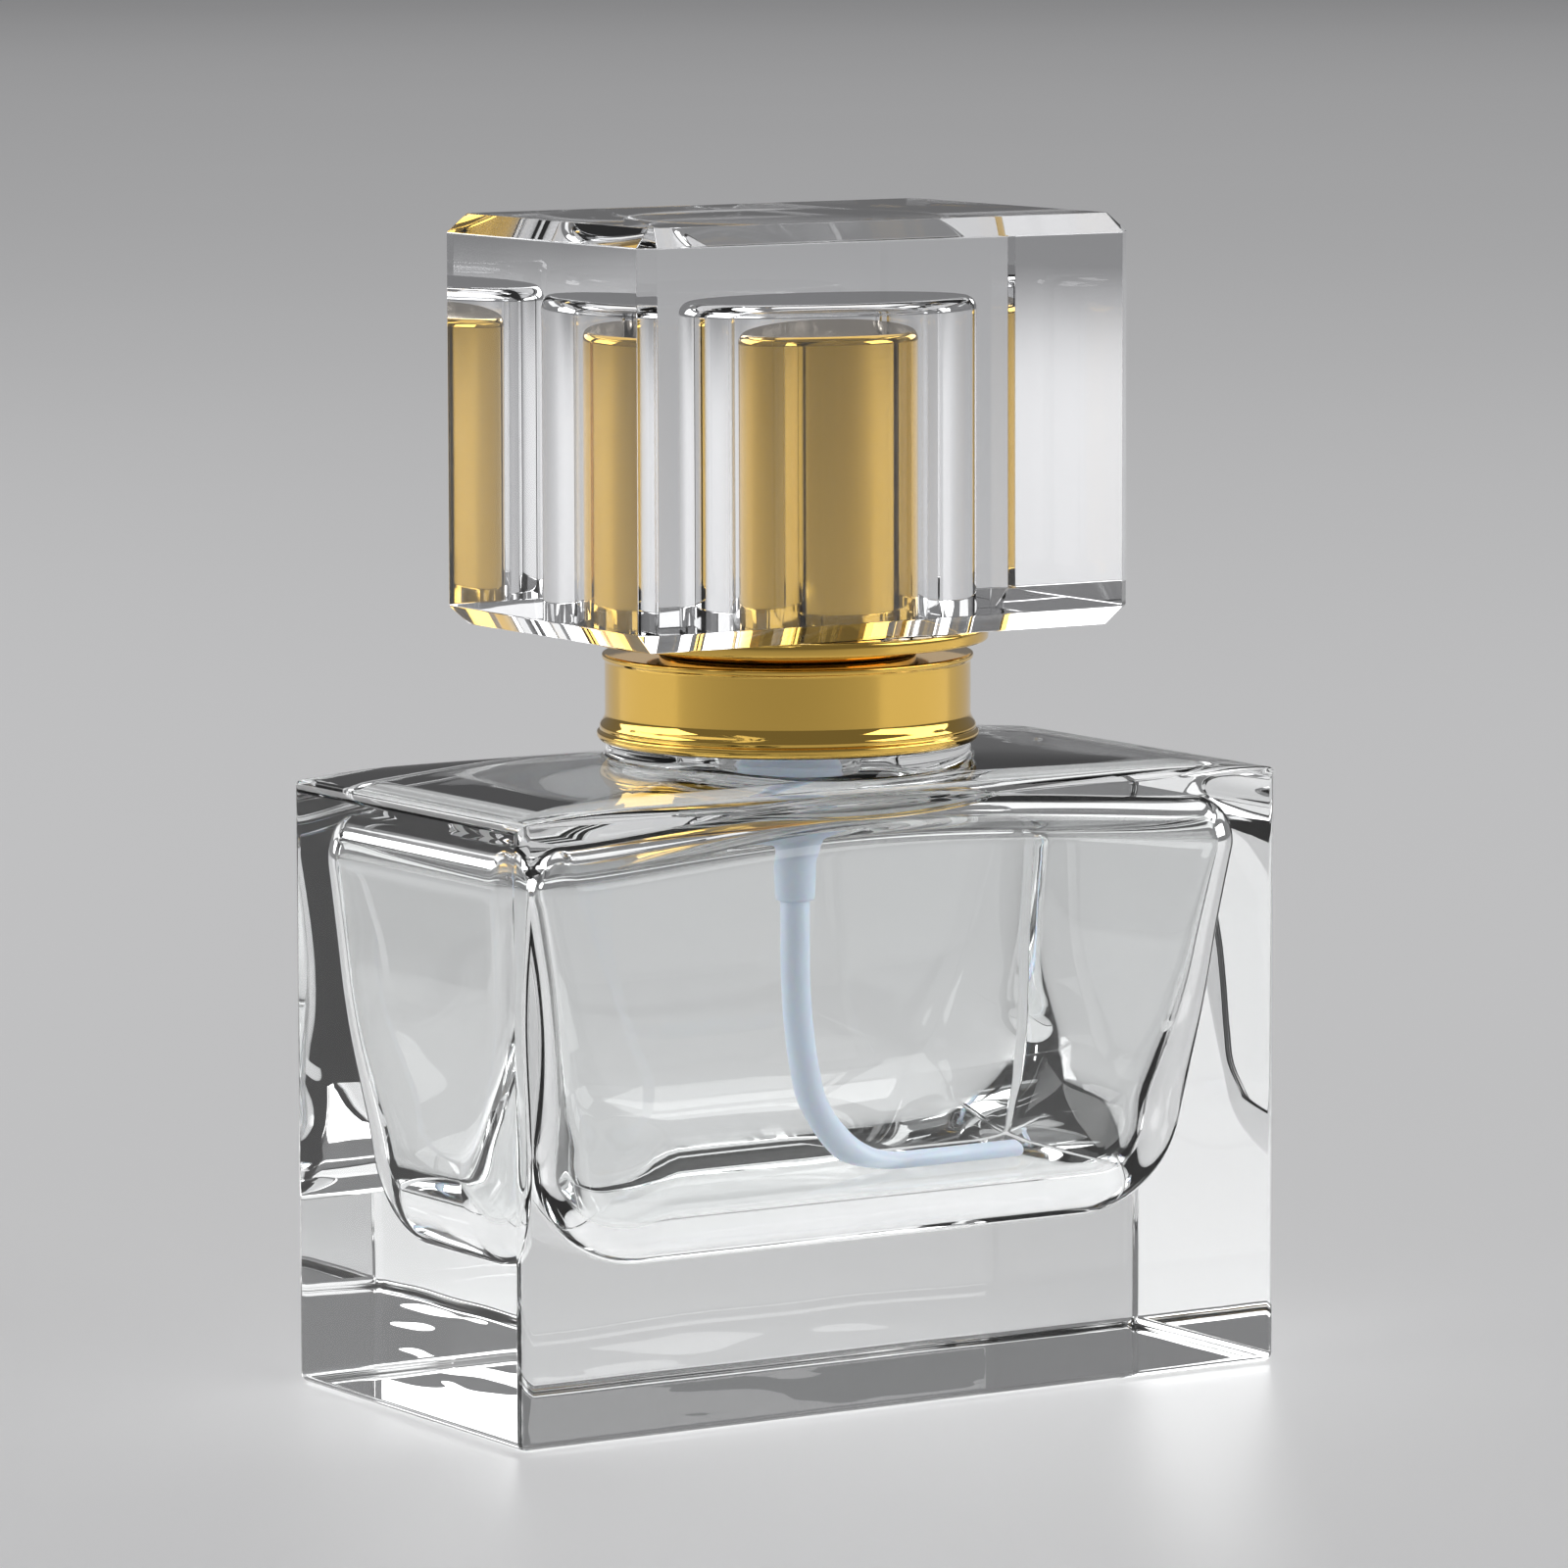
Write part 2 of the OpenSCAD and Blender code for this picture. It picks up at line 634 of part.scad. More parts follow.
// The small disc with the orifice and the swirl chamber behind it
module spray_insert() {
    swirl_r = 0.6;
    color(white_plastic)
        difference() {
            front_bore(insert_r, channel_z, insert_front - insert_l + fit_gap, insert_front);
            front_bore(swirl_r, channel_z, insert_front - insert_l - 1, insert_front - 0.5);
            front_bore(orifice_r, channel_z, insert_front - 1, insert_front + 1);
        }
}

// ---- Cap ----

// An outline with straight cut corners, centred left to right and standing on the axis
module cut_outline(w, h, cut_w, cut_h) {
    polygon([[-w / 2 + cut_w, 0], [w / 2 - cut_w, 0], [w / 2, cut_h], [w / 2, h - cut_h],
             [w / 2 - cut_w, h], [-w / 2 + cut_w, h], [-w / 2, h - cut_h], [-w / 2, cut_h]]);
}

module cap_block() {
    block_h = cap_top - cap_z;
    wall_h = cap_ceiling - cap_z - cap_hollow_fillet;
    color(acrylic_tint)
        translate([0, 0, cap_z])
            difference() {
                intersection() {
                    translate([0, -cap_d / 2, -1])
                        linear_extrude(height = block_h + 2)
                            cut_outline(cap_w, cap_d, cap_corner, cap_corner);
                    along_y(cap_d + 2) cut_outline(cap_w, block_h, cap_bevel_w, cap_bevel_h);
                    along_x(cap_w + 2) cut_outline(cap_d, block_h, cap_bevel_w, cap_bevel_h);
                }
                translate([0, 0, -1]) cylinder(r = cap_hollow_r, h = wall_h + 1, $fn = round_fn);
                translate([0, 0, -1])
                    cylinder(r = cap_hollow_r - cap_hollow_fillet, h = wall_h + cap_hollow_fillet + 1,
                             $fn = round_fn);
                translate([0, 0, wall_h]) rotate_extrude($fn = round_fn)
                    translate([cap_hollow_r - cap_hollow_fillet, 0])
                        circle(r = cap_hollow_fillet, $fn = blend_fn);
            }
}

// The gold inner cap, with the flange that closes the block's hollow
module cap_sleeve() {
    edge = 0.3;
    top_edge = 0.6;
    color(gold)
        turned([[sleeve_in_r, flange_z], [flange_r - edge, flange_z], [flange_r, flange_z + edge],
                [flange_r, cap_z - edge], [flange_r - edge, cap_z], [sleeve_r, cap_z],
                [sleeve_r, sleeve_top - top_edge], [sleeve_r - top_edge, sleeve_top], [0, sleeve_top],
                [0, sleeve_top - shell_t], [sleeve_in_r - top_edge, sleeve_top - shell_t],
                [sleeve_in_r, sleeve_top - shell_t - top_edge]]);
}

// The plastic liner: ribs that grip the collar's boss, and a step that stops on it
module cap_liner() {
    top_edge = 0.7;
    rib_foot = 0.8;
    color(white_plastic)
        union() {
            turned([[liner_in_r, flange_z], [liner_r, flange_z], [liner_r, liner_top - top_edge],
                    [liner_r - top_edge, liner_top], [0, liner_top], [0, liner_ceiling],
                    [liner_step_r, liner_ceiling], [liner_step_r, liner_step_z],
                    [liner_in_r, liner_step_z]]);
            for (i = [0:rib_count - 1])
                rotate([0, 0, 360 * i / rib_count])
                    translate([rib_out, 0, flange_z + rib_foot])
                        cylinder(r = rib_r, h = liner_step_z - flange_z - rib_foot + eps, $fn = blend_fn);
        }
}

// ---- Nodes ----

glass_bottle();
neck_gasket();
crimp_ferrule();
collar_insert();
collar_shell();
pump_housing();
pump_turret();
stem_gasket();
inlet_ball();
return_spring();
pump_stem();
pump_piston();
priming_spring();
dip_tube();
actuator_core();
actuator_shell();
spray_insert();
cap_block();
cap_sleeve();
cap_liner();
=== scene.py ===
import math

import bmesh
import bpy
from mathutils import Matrix, Vector


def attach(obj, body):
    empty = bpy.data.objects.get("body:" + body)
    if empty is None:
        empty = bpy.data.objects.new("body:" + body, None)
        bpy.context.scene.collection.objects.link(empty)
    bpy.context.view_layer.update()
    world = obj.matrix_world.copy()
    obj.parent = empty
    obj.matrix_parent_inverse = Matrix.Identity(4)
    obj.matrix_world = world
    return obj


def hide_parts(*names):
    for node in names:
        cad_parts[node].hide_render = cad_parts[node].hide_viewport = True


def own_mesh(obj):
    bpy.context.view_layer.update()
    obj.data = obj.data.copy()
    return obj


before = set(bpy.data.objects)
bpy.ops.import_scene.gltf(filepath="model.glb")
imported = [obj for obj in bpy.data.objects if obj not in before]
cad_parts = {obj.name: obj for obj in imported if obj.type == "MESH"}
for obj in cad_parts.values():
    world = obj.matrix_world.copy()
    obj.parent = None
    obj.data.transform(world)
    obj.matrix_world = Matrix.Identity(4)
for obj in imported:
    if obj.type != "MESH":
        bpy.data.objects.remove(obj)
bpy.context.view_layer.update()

MM = 0.001

# ---- Sizes in millimetres, as in the part's source ----

HALF_W, HALF_D = 30.0, 15.15
CORNER_R, LEAST_CORNER_R = 0.8, 0.2
BASE_EDGE_R = 0.6
TOP_EDGE_R = 0.9
DOME_Z, SEAT_Z = 42.8, 43.5
DOME_RISE, DOME_FALL = 1.6, 1.1        # from the narrow faces, and to the wide faces
SEAT_R, SEAT_FADE = 12.4, 0.35
NECK_R, BEAD_R, BORE_R = 6.8, 7.5, 4.9
BEAD_Z, LIP_Z = 47.3, 50.5
BORE_RING_Z, THROAT_Z, THROAT_FLARE = 46, 40.8, 1.6

# The hollow's floor: its height, then its flat's half width and half depth, how far it curves out
# along both, and how far that curve rises
FLOOR_Z, FLOOR_CURVE = 10.4, (17.4, 4.45, 8.6, 6.7, 8.0)
# Its walls, from the lowest level up: height, half width, half depth, corner radii along both
WALL_LEVELS = [(18.4, 26.0, 11.4, 8.5, 6.4), (21.0, 26.14, 12.0, 7.6, 5.6), (24.0, 26.3, 12.58, 6.4, 4.6),
               (27.0, 26.55, 12.93, 5.5, 3.9), (30.0, 26.95, 13.05, 4.7, 3.6), (33.0, 27.55, 13.05, 3.9, 3.4)]
# Its roof's rounded edge: the flat's half width and half depth, the height of its centre, its radius
ROOF_CURVE = (24.9, 9.85, 36.0, 3.2)
ROOF_RISE, ROOF_FLAT_R = 1.4, 0.4
# The roof's rise fades in over the top of the walls: from this height, and within this span
RISE_FROM, RISE_SPAN = 33, 2.67

CAP_W, CAP_D, CAP_Z, CAP_TOP = 38.6, 26.6, 51.3, 79.1
CAP_CORNER, CAP_BEVEL, CAP_EDGE = 1.0, 1.27, 0.07
CAP_HOLLOW_R, CAP_CEILING, CAP_FILLET = 11.0, 73.6, 0.9

COLLAR_TOP, BOSS_TOP = 49.45, 57.4
WAIST_R, FOOT_R, ROLL_R = 12.4, 12.95, 12.58
BOSS_R, BOSS_HOLE_R = 8.7, 6.3
FLANGE_Z, SLEEVE_TOP = 50.3, 71.4
SLEEVE_R, FLANGE_R = 9.9, 13.6
GOLD_T = 0.35
SEATING_GAP = 0.02                     # left between a gold face and the clear face that it rests on

TUBE_R, TUBE_WALL = 1.0, 0.35
TUBE_TOP, TUBE_BEND_Z, TUBE_FLOOR = 39.15, 29.8, 11.45
TUBE_LEAN, TUBE_TIGHT_R, TUBE_END = 10, 8.0, 17.9

BARREL_R, BARREL_WALL, BARREL_FLOOR, BARREL_TOP = 3.25, 0.6, 42.6, 55.2
PUMP_FLANGE_R, PUMP_FLANGE_Z, PUMP_FLANGE_TOP = 7.3, 51.3, 52.1
HOLDER_R, HOLDER_Z = 1.35, 32.6
SOCKET_R, SOCKET_TOP = 1.05, 39.2
INLET_R, CHAMBER_R, BALL_SEAT_Z = 0.65, 1.5, 40.5

PRIMING_HEAD = 53.9
# Springs: coil radius, wire radius, foot, head, turns, and how far the joint closes them
RETURN_SPRING = (1.78, 0.2, BARREL_FLOOR, 48.9, 5, 4.0)
PRIMING_SPRING = (1.6, 0.16, 51.9, PRIMING_HEAD, 3, 0.6)
SPRING_GAP, COIL_GAP = 0.04, 0.02      # to its neighbours, and between two closed turns
CLOSED_PART = 5                        # at each end, the turns divided by this are closed
STEPS_PER_TURN = 48

# ---- Studio: places, aims and sizes in metres ----

# Softboxes: name, place, aim, width, height, watts
SOFTBOXES = [
    ("left softbox", (-0.68, 0.66, 0.50), (-0.1, 0.1, 0), 1.2, 0.6, 6.4),
    ("right softbox", (0.84, -0.52, 0.50), (0.1, -0.05, 0), 1.3, 0.6, 7.0),
    ("overhead softbox", (1.0, 1.6, 2.0), (0.8, 1.3, 0), 2.8, 2.8, 21),
]
WORLD_GREY = (0.19, 0.19, 0.194)
STUDIO_FLOOR_R = 14
FLOOR_DROP = 0.04 * MM

# The camera: azimuth, elevation and roll in degrees, then its place along its own axes, its sensor
# and its lens in millimetres, and in metres how near it starts to see
CAMERA_ANGLES = (-32.206, 6.746, 0.146)
CAMERA_RIGHT, CAMERA_UP, CAMERA_BACK = -0.264, 40.109, 579.6
SENSOR, LENS = 36, 194.625
CLIP_START = 0.02

MERGE = 1e-7                           # metres: points nearer than this are one
NOISE_LOW, NOISE_HIGH = 0.3, 0.7       # noise seldom leaves this range


# ---- Making and registering pieces ----

def placed(name, bm):
    """A new object in the scene, from a bmesh."""
    mesh = bpy.data.meshes.new(name)
    bm.to_mesh(mesh)
    bm.free()
    made = bpy.data.objects.new(name, mesh)
    bpy.context.scene.collection.objects.link(made)
    return made


def only(kind, geom):
    return [g for g in geom if isinstance(g, kind)]


def register(name, bm, material, body, node=None, crease=34):
    """Turns a bmesh into a piece that rides on a body and stands for a node."""
    for face in bm.faces:
        face.smooth = True
    for edge in bm.edges:
        if len(edge.link_faces) == 2 and edge.calc_face_angle(0) > math.radians(crease):
            edge.smooth = False
    piece = placed(name, bm)
    piece.data.materials.append(material)
    shading = piece.modifiers.new("flat faces stay flat", "WEIGHTED_NORMAL")
    shading.keep_sharp = True
    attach(piece, body)
    if node:
        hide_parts(node)
    return piece


def wire(bm, corners, softness=4):
    """Lays a half section as edges in the XZ plane.

    A corner is (radius, height) or (radius, height, rounding).
    """
    verts = [bm.verts.new((c[0] * MM, 0, c[1] * MM)) for c in corners]
    on_axis = [c[0] == 0 for c in corners]
    for i, vert in enumerate(verts):
        j = (i + 1) % len(verts)
        if not (on_axis[i] and on_axis[j]):
            bm.edges.new((vert, verts[j]))
    roundings = [c[2] if len(c) > 2 else 0 for c in corners]
    for rounding in sorted(set(roundings) - {0}):
        chosen = [v for v, r in zip(verts, roundings) if r == rounding]
        bmesh.ops.bevel(bm, geom=chosen, offset=rounding * MM, offset_type="OFFSET", segments=softness,
                        profile=0.5, affect="VERTICES", material=-1)


def spun(corners, steps=128, softness=4):
    """A turned piece from the closed half section through its corners."""
    bm = bmesh.new()
    wire(bm, corners, softness)
    bmesh.ops.spin(bm, geom=bm.verts[:] + bm.edges[:], cent=(0, 0, 0), axis=(0, 0, 1),
                   angle=math.tau, steps=steps, use_merge=True)
    bmesh.ops.remove_doubles(bm, verts=bm.verts[:], dist=MERGE)
    bmesh.ops.recalc_face_normals(bm, faces=bm.faces[:])
    return bm


# ---- Rings that the bottle is drawn through ----

ARC_STEPS, SHORT_STEPS, LONG_STEPS = 12, 24, 48


def outline(half_x, half_y, radius, radius_y=None):
    """Points round a rectangle with round corners, always as many and in the same order."""
    points = []
    radius_y = radius if radius_y is None else radius_y
    flat_x, flat_y = half_x - radius, half_y - radius_y
    sides = [((half_x, -flat_y), (half_x, flat_y), SHORT_STEPS, (flat_x, flat_y), 0),
             ((flat_x, half_y), (-flat_x, half_y), LONG_STEPS, (-flat_x, flat_y), 90),
             ((-half_x, flat_y), (-half_x, -flat_y), SHORT_STEPS, (-flat_x, -flat_y), 180),
             ((-flat_x, -half_y), (flat_x, -half_y), LONG_STEPS, (flat_x, -flat_y), 270)]
    for start, end, steps, centre, turn in sides:
        for i in range(steps):
            t = i / steps
            points.append(tuple(a + (b - a) * t for a, b in zip(start, end)))
        for i in range(ARC_STEPS):
            angle = math.radians(turn + 90 * i / ARC_STEPS)
            points.append((centre[0] + radius * math.cos(angle), centre[1] + radius_y * math.sin(angle)))
    return points


def bearings():
    """The angle round the axis of each of an outline's points, spread by distance along the outline."""
    points = outline(HALF_W, HALF_D, CORNER_R)
    travelled = [0.0]
    for a, b in zip(points, points[1:] + points[:1]):
        travelled.append(travelled[-1] + math.dist(a, b))
    start = travelled[SHORT_STEPS // 2]
    return [math.tau * (s - start) / travelled[-1] for s in travelled[:-1]]


BEARINGS = bearings()


def circle(radius):
    return [(radius * math.cos(a), radius * math.sin(a)) for a in BEARINGS]


def between(low, high, t):
    return [(a[0] + (b[0] - a[0]) * t, a[1] + (b[1] - a[1]) * t) for a, b in zip(low, high)]


def level(points, z):
    return [(x, y, z) for x, y in points]


def arch_height(along, half, rise):
    """One shallow arch of the shoulder, rolled over at its ends."""
    half -= TOP_EDGE_R
    radius = (half ** 2 + rise ** 2) / (2 * rise)
    if abs(along) <= half:
        return DOME_Z - radius + math.sqrt(radius ** 2 - along * along)
    over = min(abs(along) - half, TOP_EDGE_R)
    return DOME_Z - rise - TOP_EDGE_R + math.sqrt(TOP_EDGE_R ** 2 - over ** 2)


def shoulder_height(x, y):
    """The lower of two crossing arches, softly joined."""
    blend = 0.12
    across, along = arch_height(x, HALF_W, DOME_RISE), arch_height(y, HALF_D, DOME_FALL)
    least = min(across, along)
    return least - blend * math.log(math.exp((least - across) / blend) + math.exp((least - along) / blend))


def draped(points):
    return [(x, y, shoulder_height(x, y)) for x, y in points]


def outer_rings():
    """Rings from the middle of the base, up the walls and over the shoulder to the seat."""
    rings = []
    steps = 6
    for i in range(steps + 1):
        angle = math.radians(90 * i / steps)
        inset = BASE_EDGE_R * (1 - math.sin(angle))
        rings.append(level(outline(HALF_W - inset, HALF_D - inset, CORNER_R - inset),
                           BASE_EDGE_R * (1 - math.cos(angle))))
    steps = 7
    for i in range(steps + 1):
        inset = TOP_EDGE_R * (1 - math.cos(math.radians(90 * i / steps)))
        rings.append(draped(outline(HALF_W - inset, HALF_D - inset, max(CORNER_R - inset, LEAST_CORNER_R))))
    edge = outline(HALF_W - TOP_EDGE_R, HALF_D - TOP_EDGE_R, LEAST_CORNER_R)
    seat = circle(SEAT_R + SEAT_FADE)
    steps = 12
    for i in range(1, steps + 1):
        rings.append(draped(between(edge, seat, i / steps)))
    for radius, share in ((SEAT_R + 0.12, 0.1), (SEAT_R + 0.03, 0.3), (SEAT_R, 0.6), (SEAT_R, 0.85),
                          (SEAT_R - 0.04, 0.96), (SEAT_R - 0.15, 1)):
        points = circle(radius)
        rings.append([(x, y, z + (SEAT_Z - z) * share) for x, y, z in draped(points)])
    return rings


def neck_rings():
    """Rings up the neck, over the lip and down the bore."""
    steps = [(SEAT_R - 0.6, SEAT_Z), (NECK_R + 0.5, SEAT_Z), (NECK_R, SEAT_Z + 0.5), (NECK_R, BEAD_Z - 0.6),
             (BEAD_R - 0.15, BEAD_Z - 0.1), (BEAD_R, BEAD_Z + 0.1), (BEAD_R, LIP_Z - 0.5),
             (BEAD_R - 0.15, LIP_Z - 0.15), (BEAD_R - 0.5, LIP_Z), (BORE_R + 0.4, LIP_Z),
             (BORE_R + 0.1, LIP_Z - 0.1), (BORE_R, LIP_Z - 0.4), (BORE_R, BORE_RING_Z),
             (BORE_R, THROAT_Z + 1.6), (BORE_R + 0.1, THROAT_Z + 1.0), (BORE_R + 0.4, THROAT_Z + 0.4),
             (BORE_R + 0.9, THROAT_Z)]
    return [level(circle(r), z) for r, z in steps]


def roof_height(x):
    """How far the hollow's roof is raised over its ends, towards the neck."""
    return ROOF_RISE * max(1 - (x / ROOF_CURVE[0]) ** 2, 0) ** 1.5


def roofed(points, z):
    return [(x, y, z + roof_height(x)) for x, y in points]


def eased(rows, steps):
    """Rows of numbers with a smooth curve of more rows drawn through them."""
    made = []
    for i in range(1, len(rows) - 2):
        for k in range(steps):
            t = k / steps
            made.append([0.5 * (2 * b + (c - a) * t + (2 * a - 5 * b + 4 * c - d) * t * t
                                + (3 * b - a - 3 * c + d) * t ** 3)
                         for a, b, c, d in zip(*rows[i - 1:i + 3])])
    return made


def hollow_rings():
    """Rings from the neck's throat over the roof of the hollow, down its walls and across its floor."""
    flat_x, flat_y, centre_z, radius = ROOF_CURVE
    roof = outline(flat_x + ROOF_FLAT_R, flat_y + ROOF_FLAT_R, ROOF_FLAT_R)
    roof_z = centre_z + math.sqrt(radius ** 2 - ROOF_FLAT_R ** 2)
    throat = circle(BORE_R + THROAT_FLARE)
    steps = 8
    rings = [roofed(between(throat, roof, i / steps), roof_z) for i in range(steps + 1)]
    curve = []
    for angle in (75, 65, 55, 45, 36, 27, 18, 9, 0, -6):
        out = radius * math.cos(math.radians(angle))
        z = centre_z + radius * math.sin(math.radians(angle))
        rings.append(roofed(outline(flat_x + out, flat_y + out, out), z))
        curve.append((z, flat_x + out, flat_y + out, out, out))
    floor_x, floor_y, deep_x, deep_y, rise = FLOOR_CURVE
    bowl = []
    for angle in list(range(16, 88, 6)) + [88]:
        out = math.cos(math.radians(angle))
        bowl.append((FLOOR_Z + rise - rise * math.sin(math.radians(angle)), floor_x + deep_x * out,
                     floor_y + deep_y * out, deep_x * out, deep_y * out))
    walls = eased(curve[-2:] + WALL_LEVELS[::-1] + bowl[:2], 4)
    for z, half_x, half_y, corner_x, corner_y in walls[1:] + bowl:
        lift = min(max((z - RISE_FROM) / RISE_SPAN, 0), 1)
        points = outline(half_x, half_y, corner_x, corner_y)
        rings.append([(x, y, z + lift * roof_height(x)) for x, y in points])
    return rings


def lofted(rings):
    """A closed form drawn through its rings, from one flat end to the other."""
    bm = bmesh.new()
    order = bm.verts.layers.int.new("order")
    first = bmesh.ops.create_circle(bm, cap_ends=True, segments=len(rings[0]), radius=1)["verts"]
    for i, vert in enumerate(first):
        vert[order] = i
    edges = bm.edges[:]
    for vert in first:
        vert.co = Vector(rings[0][vert[order]]) * MM
    for ring in rings[1:]:
        made = bmesh.ops.extrude_edge_only(bm, edges=edges)["geom"]
        for vert in only(bmesh.types.BMVert, made):
            vert.co = Vector(ring[vert[order]]) * MM
        edges = only(bmesh.types.BMEdge, made)
    bmesh.ops.contextual_create(bm, geom=edges)
    bmesh.ops.recalc_face_normals(bm, faces=bm.faces[:])
    return bm


# ---- Pieces ----

def make_bottle(material):
    bm = lofted(outer_rings() + neck_rings() + hollow_rings())
    return register("bottle_glass", bm, material, "bottle", "glass_bottle")


def bevelled(bm, edges, offset, segments=1):
    bmesh.ops.bevel(bm, geom=edges, offset=offset * MM, offset_type="OFFSET", segments=segments,
                    profile=0.5, affect="EDGES", material=-1)


def make_cap_block(material):
    """A block with cut corners and bevelled edges, polished, with a round hollow from below."""
    bm = bmesh.new()
    bmesh.ops.create_cube(bm, size=1)
    bmesh.ops.scale(bm, vec=(CAP_W * MM, CAP_D * MM, (CAP_TOP - CAP_Z) * MM), verts=bm.verts[:])
    bmesh.ops.translate(bm, vec=(0, 0, (CAP_TOP + CAP_Z) / 2 * MM), verts=bm.verts[:])
    upright = [e for e in bm.edges if abs(e.verts[0].co.z - e.verts[1].co.z) > MM]
    bevelled(bm, upright, CAP_CORNER)
    rim = [e for e in bm.edges if abs(e.verts[0].co.z - e.verts[1].co.z) < 1e-6]
    bevelled(bm, rim, CAP_BEVEL)
    bevelled(bm, bm.edges[:], CAP_EDGE, segments=2)
    underside = min(bm.faces, key=lambda f: f.calc_center_median().z)
    rim = underside.edges[:]
    bmesh.ops.delete(bm, geom=[underside], context="FACES_ONLY")
    before = set(bm.edges)
    wall_top = CAP_CEILING - CAP_FILLET
    section = [(CAP_HOLLOW_R, CAP_Z)]
    steps = 6
    for i in range(steps + 1):
        angle = math.radians(90 * i / steps)
        section.append((CAP_HOLLOW_R - CAP_FILLET * (1 - math.cos(angle)),
                        wall_top + CAP_FILLET * math.sin(angle)))
    section.append((0, CAP_CEILING))
    verts = [bm.verts.new((r * MM, 0, z * MM)) for r, z in section]
    edges = [bm.edges.new(pair) for pair in zip(verts, verts[1:])]
    bmesh.ops.spin(bm, geom=verts + edges, cent=(0, 0, 0), axis=(0, 0, 1), angle=math.tau, steps=128,
                   use_merge=True)
    bmesh.ops.remove_doubles(bm, verts=bm.verts[:], dist=MERGE)
    mouth = [e for e in bm.edges if e not in before and e.is_boundary]
    bmesh.ops.triangle_fill(bm, use_beauty=True, edges=[e for e in rim if e.is_valid] + mouth)
    bmesh.ops.recalc_face_normals(bm, faces=bm.faces[:])
    return register("cap_block_clear", bm, material, "cap", "cap_block", crease=16)


def make_cap_sleeve(material):
    """The gold inner cap, closed at the top, with the flange that shows under the block."""
    inner = SLEEVE_R - GOLD_T
    flange_top = CAP_Z - SEATING_GAP
    bm = spun([(inner, FLANGE_Z, 0.08), (FLANGE_R, FLANGE_Z, 0.25), (FLANGE_R, flange_top, 0.25),
               (SLEEVE_R, flange_top, 0.1), (SLEEVE_R, SLEEVE_TOP, 0.6), (0, SLEEVE_TOP),
               (0, SLEEVE_TOP - GOLD_T), (inner, SLEEVE_TOP - GOLD_T, 0.4)], steps=160, softness=6)
    return register("cap_sleeve_gold", bm, material, "cap", "cap_sleeve")


def make_collar(material):
    """The gold collar: beaded foot, waist, rolled lip and the boss that the cap grips."""
    z = SEAT_Z + SEATING_GAP
    inner, boss_inner = WAIST_R - GOLD_T, BOSS_R - GOLD_T
    foot = [(inner, z, 0.03), (FOOT_R - 0.25, z, 0.12), (FOOT_R, z + 0.3, 0.12), (FOOT_R, z + 0.62, 0.1),
            (FOOT_R - 0.23, z + 0.76, 0.06), (FOOT_R - 0.17, z + 1.0, 0.12),
            (FOOT_R - 0.27, z + 1.2, 0.06), (WAIST_R, z + 1.6, 0.3)]
    rolled_lip = [(WAIST_R, COLLAR_TOP - 0.5, 0.1), (ROLL_R, COLLAR_TOP - 0.34, 0.07),
                  (ROLL_R, COLLAR_TOP - 0.06, 0.09), (WAIST_R, COLLAR_TOP, 0.05)]
    boss = [(BOSS_R + 0.1, COLLAR_TOP, 0.15), (BOSS_R, COLLAR_TOP + 0.3, 0.1), (BOSS_R, BOSS_TOP, 0.4),
            (BOSS_HOLE_R, BOSS_TOP, 0.08)]
    inside = [(BOSS_HOLE_R, BOSS_TOP - GOLD_T, 0.05), (boss_inner, BOSS_TOP - GOLD_T, 0.2),
              (boss_inner, COLLAR_TOP - GOLD_T, 0.05), (inner, COLLAR_TOP - GOLD_T, 0.1)]
    bm = spun(foot + rolled_lip + boss + inside, steps=192, softness=5)
    return register("collar_gold", bm, material, "bottle", "collar_shell", crease=60)


def make_dip_tube(material):
    """Straight down from its socket, a gentle bend, a tight bend and along the floor of the hollow."""
    lean = math.radians(TUBE_LEAN)
    drop = TUBE_TIGHT_R * (1 - math.sin(lean))
    gentle_r = (TUBE_BEND_Z - TUBE_FLOOR - drop) / math.sin(lean)
    gentle_x = gentle_r * (1 - math.cos(lean))
    tight_x = gentle_x + TUBE_TIGHT_R * math.cos(lean)
    bm = bmesh.new()
    bmesh.ops.create_circle(bm, cap_ends=False, segments=32, radius=TUBE_R * MM)
    bmesh.ops.translate(bm, vec=(0, 0, TUBE_TOP * MM), verts=bm.verts[:])
    ring = bm.edges[:]

    def drawn(edges, shift):
        made = bmesh.ops.extrude_edge_only(bm, edges=edges)["geom"]
        bmesh.ops.translate(bm, vec=Vector(shift) * MM, verts=only(bmesh.types.BMVert, made))
        return only(bmesh.types.BMEdge, made)

    def bent(edges, centre, angle, steps):
        verts = list({v for e in edges for v in e.verts})
        made = bmesh.ops.spin(bm, geom=verts + edges, cent=Vector(centre) * MM, axis=(0, -1, 0), angle=angle,
                              steps=steps)["geom_last"]
        return only(bmesh.types.BMEdge, made)

    ring = drawn(ring, (0, 0, TUBE_BEND_Z - TUBE_TOP))
    ring = bent(ring, (gentle_r, 0, TUBE_BEND_Z), lean, steps=16)
    ring = bent(ring, (tight_x, 0, TUBE_FLOOR + TUBE_TIGHT_R), math.pi / 2 - lean, steps=28)
    drawn(ring, (TUBE_END - tight_x, 0, 0))
    bmesh.ops.recalc_face_normals(bm, faces=bm.faces[:])
    piece = register("dip_tube_clear", bm, material, "bottle", "dip_tube")
    wall = piece.modifiers.new("tube wall", "SOLIDIFY")
    wall.thickness = TUBE_WALL * MM
    wall.offset = -1
    return piece


